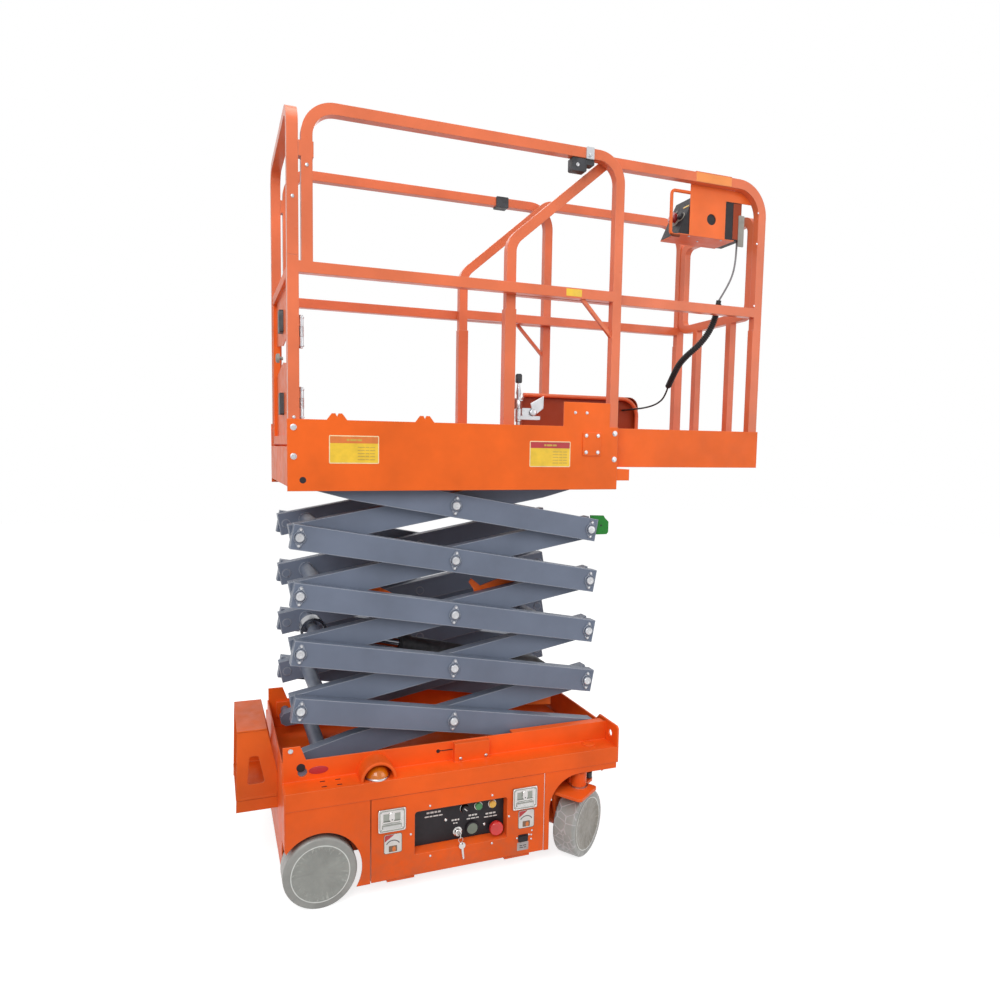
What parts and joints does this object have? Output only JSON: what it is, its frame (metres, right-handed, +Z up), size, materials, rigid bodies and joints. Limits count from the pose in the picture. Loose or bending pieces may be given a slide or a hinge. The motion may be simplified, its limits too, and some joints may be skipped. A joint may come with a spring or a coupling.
{
  "type": "scissor lift",
  "caption": "Self-propelled scissor lift with a railed platform, sliding deck extension, rear swing gate, steered front wheels, rear ladder and drop-down bay doors.",
  "frame": {"origin": "on the ground, under the middle of the whole machine's box", "axes": "+X the way it drives and the deck slides out, +Y the far side away from the ground controls, +Z up"},
  "size_m": [1.941, 0.8762, 2.453],
  "materials": {
    "paint_orange": "satin",
    "paint_slate": "satin",
    "steel_grey": "satin",
    "zinc": "satin",
    "rod_chrome": "polished",
    "tyre_grey": "matte",
    "hub_wrapped": "satin",
    "plastic_black": "matte",
    "plastic_red": "gloss",
    "lens_amber": "gloss",
    "cable_black": "matte"
  },
  "bodies": {
    "chassis": {"chassis_frame": "paint_orange", "skirt_far": "paint_orange", "skirt_near": "paint_orange", "bulkhead_rear": "paint_orange", "bulkhead_front": "paint_orange", "ladder": "paint_orange", "beacon": "lens_amber", "beacon_hood": "paint_orange", "battery_pack": "plastic_black", "power_unit": "steel_grey"},
    "door_near": {"door_near": "paint_orange", "control_panel": "plastic_black", "panel_stop": "plastic_red", "latches_near": "zinc"},
    "door_far": {"door_far": "paint_orange", "latches_far": "zinc"},
    "knuckle_near": {"knuckle_near": "paint_orange"},
    "knuckle_far": {"knuckle_far": "paint_orange"},
    "tie_rod": {"tie_rod": "steel_grey"},
    "wheel_rear_near": {"hub_rear_near": "hub_wrapped", "tyre_rear_near": "tyre_grey"},
    "wheel_rear_far": {"hub_rear_far": "hub_wrapped", "tyre_rear_far": "tyre_grey"},
    "wheel_front_near": {"hub_front_near": "hub_wrapped", "tyre_front_near": "tyre_grey"},
    "wheel_front_far": {"hub_front_far": "hub_wrapped", "tyre_front_far": "tyre_grey"},
    "lift_barrel": {"lift_barrel": "steel_grey"},
    "lift_rod": {"lift_rod": "rod_chrome"},
    "platform": {"platform_deck": "paint_orange", "rail_far": "paint_orange", "rail_near": "paint_orange", "rail_rear": "paint_orange"},
    "gate": {"gate": "paint_orange"},
    "extension": {"ext_deck": "paint_orange", "ext_rail_far": "paint_orange", "ext_rail_near": "paint_orange", "ext_rail_front": "paint_orange", "control_box": "plastic_black", "box_bracket": "paint_orange", "box_stop": "plastic_red", "cable_top": "cable_black", "cable_coil": "cable_black", "cable_tail": "cable_black", "cable_guard": "paint_orange", "deck_latch": "steel_grey"},
    "inner_1": {"inner_arms_1": "paint_slate"},
    "outer_1": {"outer_arms_1": "paint_slate"},
    "inner_2": {"inner_arms_2": "paint_slate"},
    "outer_2": {"outer_arms_2": "paint_slate"},
    "inner_3": {"inner_arms_3": "paint_slate"},
    "outer_3": {"outer_arms_3": "paint_slate"},
    "inner_4": {"inner_arms_4": "paint_slate"},
    "outer_4": {"outer_arms_4": "paint_slate"},
    "inner_5": {"inner_arms_5": "paint_slate"},
    "outer_5": {"outer_arms_5": "paint_slate"}
  },
  "joints": [
    {"name": "lift", "type": "hinge", "parent": "chassis", "child": "inner_1", "pos_m": [-0.7745, 0, 0.411], "axis": [0, -1, 0], "range_deg": [-5.5, 31.65]},
    {"name": "outer_1_centre", "type": "hinge", "parent": "inner_1", "child": "outer_1", "pos_m": [-0.2628, 0, 0.50353], "axis": [0, -1, 0], "range_deg": [-63.31, 11.01]},
    {"name": "outer_2_foot", "type": "hinge", "parent": "inner_1", "child": "outer_2", "pos_m": [0.2489, 0, 0.59606], "axis": [0, -1, 0], "range_deg": [-63.31, 11.01]},
    {"name": "inner_2_centre", "type": "hinge", "parent": "outer_2", "child": "inner_2", "pos_m": [-0.2628, 0, 0.68859], "axis": [0, -1, 0], "range_deg": [-11.01, 63.31]},
    {"name": "inner_3_foot", "type": "hinge", "parent": "outer_2", "child": "inner_3", "pos_m": [-0.7745, 0, 0.78112], "axis": [0, -1, 0], "range_deg": [-11.01, 63.31]},
    {"name": "outer_3_centre", "type": "hinge", "parent": "inner_3", "child": "outer_3", "pos_m": [-0.2628, 0, 0.87365], "axis": [0, -1, 0], "range_deg": [-63.31, 11.01]},
    {"name": "outer_4_foot", "type": "hinge", "parent": "inner_3", "child": "outer_4", "pos_m": [0.2489, 0, 0.96618], "axis": [0, -1, 0], "range_deg": [-63.31, 11.01]},
    {"name": "inner_4_centre", "type": "hinge", "parent": "outer_4", "child": "inner_4", "pos_m": [-0.2628, 0, 1.05872], "axis": [0, -1, 0], "range_deg": [-11.01, 63.31]},
    {"name": "inner_5_foot", "type": "hinge", "parent": "outer_4", "child": "inner_5", "pos_m": [-0.7745, 0, 1.15125], "axis": [0, -1, 0], "range_deg": [-11.01, 63.31]},
    {"name": "outer_5_centre", "type": "hinge", "parent": "inner_5", "child": "outer_5", "pos_m": [-0.2628, 0, 1.24378], "axis": [0, -1, 0], "range_deg": [-63.31, 11.01]},
    {"name": "platform_level", "type": "hinge", "parent": "outer_5", "child": "platform", "pos_m": [-0.7745, 0, 1.33631], "axis": [0, -1, 0], "range_deg": [-5.51, 31.66]},
    {"name": "barrel_swing", "type": "hinge", "parent": "inner_1", "child": "lift_barrel", "pos_m": [0.17707, 0, 0.58307], "axis": [0, -1, 0], "range_deg": [-68.94, 11.99]},
    {"name": "rod_slide", "type": "slide", "parent": "lift_barrel", "child": "lift_rod", "axis": [-0.9724, 0, 0.2333], "range_m": [-0.02112, 0.12108]},
    {"name": "steer_near", "type": "hinge", "parent": "chassis", "child": "knuckle_near", "pos_m": [0.18343, -0.34, 0.275], "axis": [0, 0, 1], "range_deg": [-80, 10]},
    {"name": "steer_far", "type": "hinge", "parent": "chassis", "child": "knuckle_far", "pos_m": [0.18343, 0.34, 0.275], "axis": [0, 0, 1], "range_deg": [-80, 10]},
    {"name": "tie_rod_near", "type": "hinge", "parent": "knuckle_near", "child": "tie_rod", "pos_m": [0.24486, -0.29698, 0.258], "axis": [0, 0, 1], "range_deg": [-10, 80]},
    {"name": "wheel_front_near_spin", "type": "hinge", "parent": "knuckle_near", "child": "wheel_front_near", "pos_m": [0.18343, -0.34, 0.115], "axis": [-0.5736, 0.8192, 0], "continuous": true},
    {"name": "wheel_rear_near_spin", "type": "hinge", "parent": "chassis", "child": "wheel_rear_near", "pos_m": [-0.7305, -0.34, 0.115], "axis": [0, 1, 0], "continuous": true},
    {"name": "wheel_front_far_spin", "type": "hinge", "parent": "knuckle_far", "child": "wheel_front_far", "pos_m": [0.18343, 0.34, 0.115], "axis": [-0.5736, 0.8192, 0], "continuous": true},
    {"name": "wheel_rear_far_spin", "type": "hinge", "parent": "chassis", "child": "wheel_rear_far", "pos_m": [-0.7305, 0.34, 0.115], "axis": [0, 1, 0], "continuous": true},
    {"name": "door_near_drop", "type": "hinge", "parent": "chassis", "child": "door_near", "pos_m": [-0.2705, -0.372, 0.046], "axis": [1, 0, 0], "range_deg": [0, 90]},
    {"name": "door_far_drop", "type": "hinge", "parent": "chassis", "child": "door_far", "pos_m": [-0.2705, 0.372, 0.046], "axis": [-1, 0, 0], "range_deg": [0, 90]},
    {"name": "gate_swing", "type": "hinge", "parent": "platform", "child": "gate", "pos_m": [-0.7685, -0.272, 1.7], "axis": [0, 0, -1], "range_deg": [0, 90], "stiffness_Nm_per_rad": 3, "springref_deg": -20.05},
    {"name": "deck_extension", "type": "slide", "parent": "platform", "child": "extension", "axis": [1, 0, 0], "range_m": [-0.64, 0]}
  ],
  "couplings": [
    {"joint": "outer_1_centre", "follows": "lift", "ratio": -2},
    {"joint": "outer_2_foot", "follows": "lift", "ratio": -2},
    {"joint": "inner_2_centre", "follows": "lift", "ratio": 2},
    {"joint": "inner_3_foot", "follows": "lift", "ratio": 2},
    {"joint": "outer_3_centre", "follows": "lift", "ratio": -2},
    {"joint": "outer_4_foot", "follows": "lift", "ratio": -2},
    {"joint": "inner_4_centre", "follows": "lift", "ratio": 2},
    {"joint": "inner_5_foot", "follows": "lift", "ratio": 2},
    {"joint": "outer_5_centre", "follows": "lift", "ratio": -2},
    {"joint": "platform_level", "follows": "lift", "ratio": 1},
    {"joint": "barrel_swing", "follows": "lift", "ratio": -2.178},
    {"joint": "rod_slide", "follows": "lift", "m_per_rad": 0.219},
    {"joint": "steer_far", "follows": "steer_near", "ratio": 1},
    {"joint": "tie_rod_near", "follows": "steer_near", "ratio": -1}
  ]
}
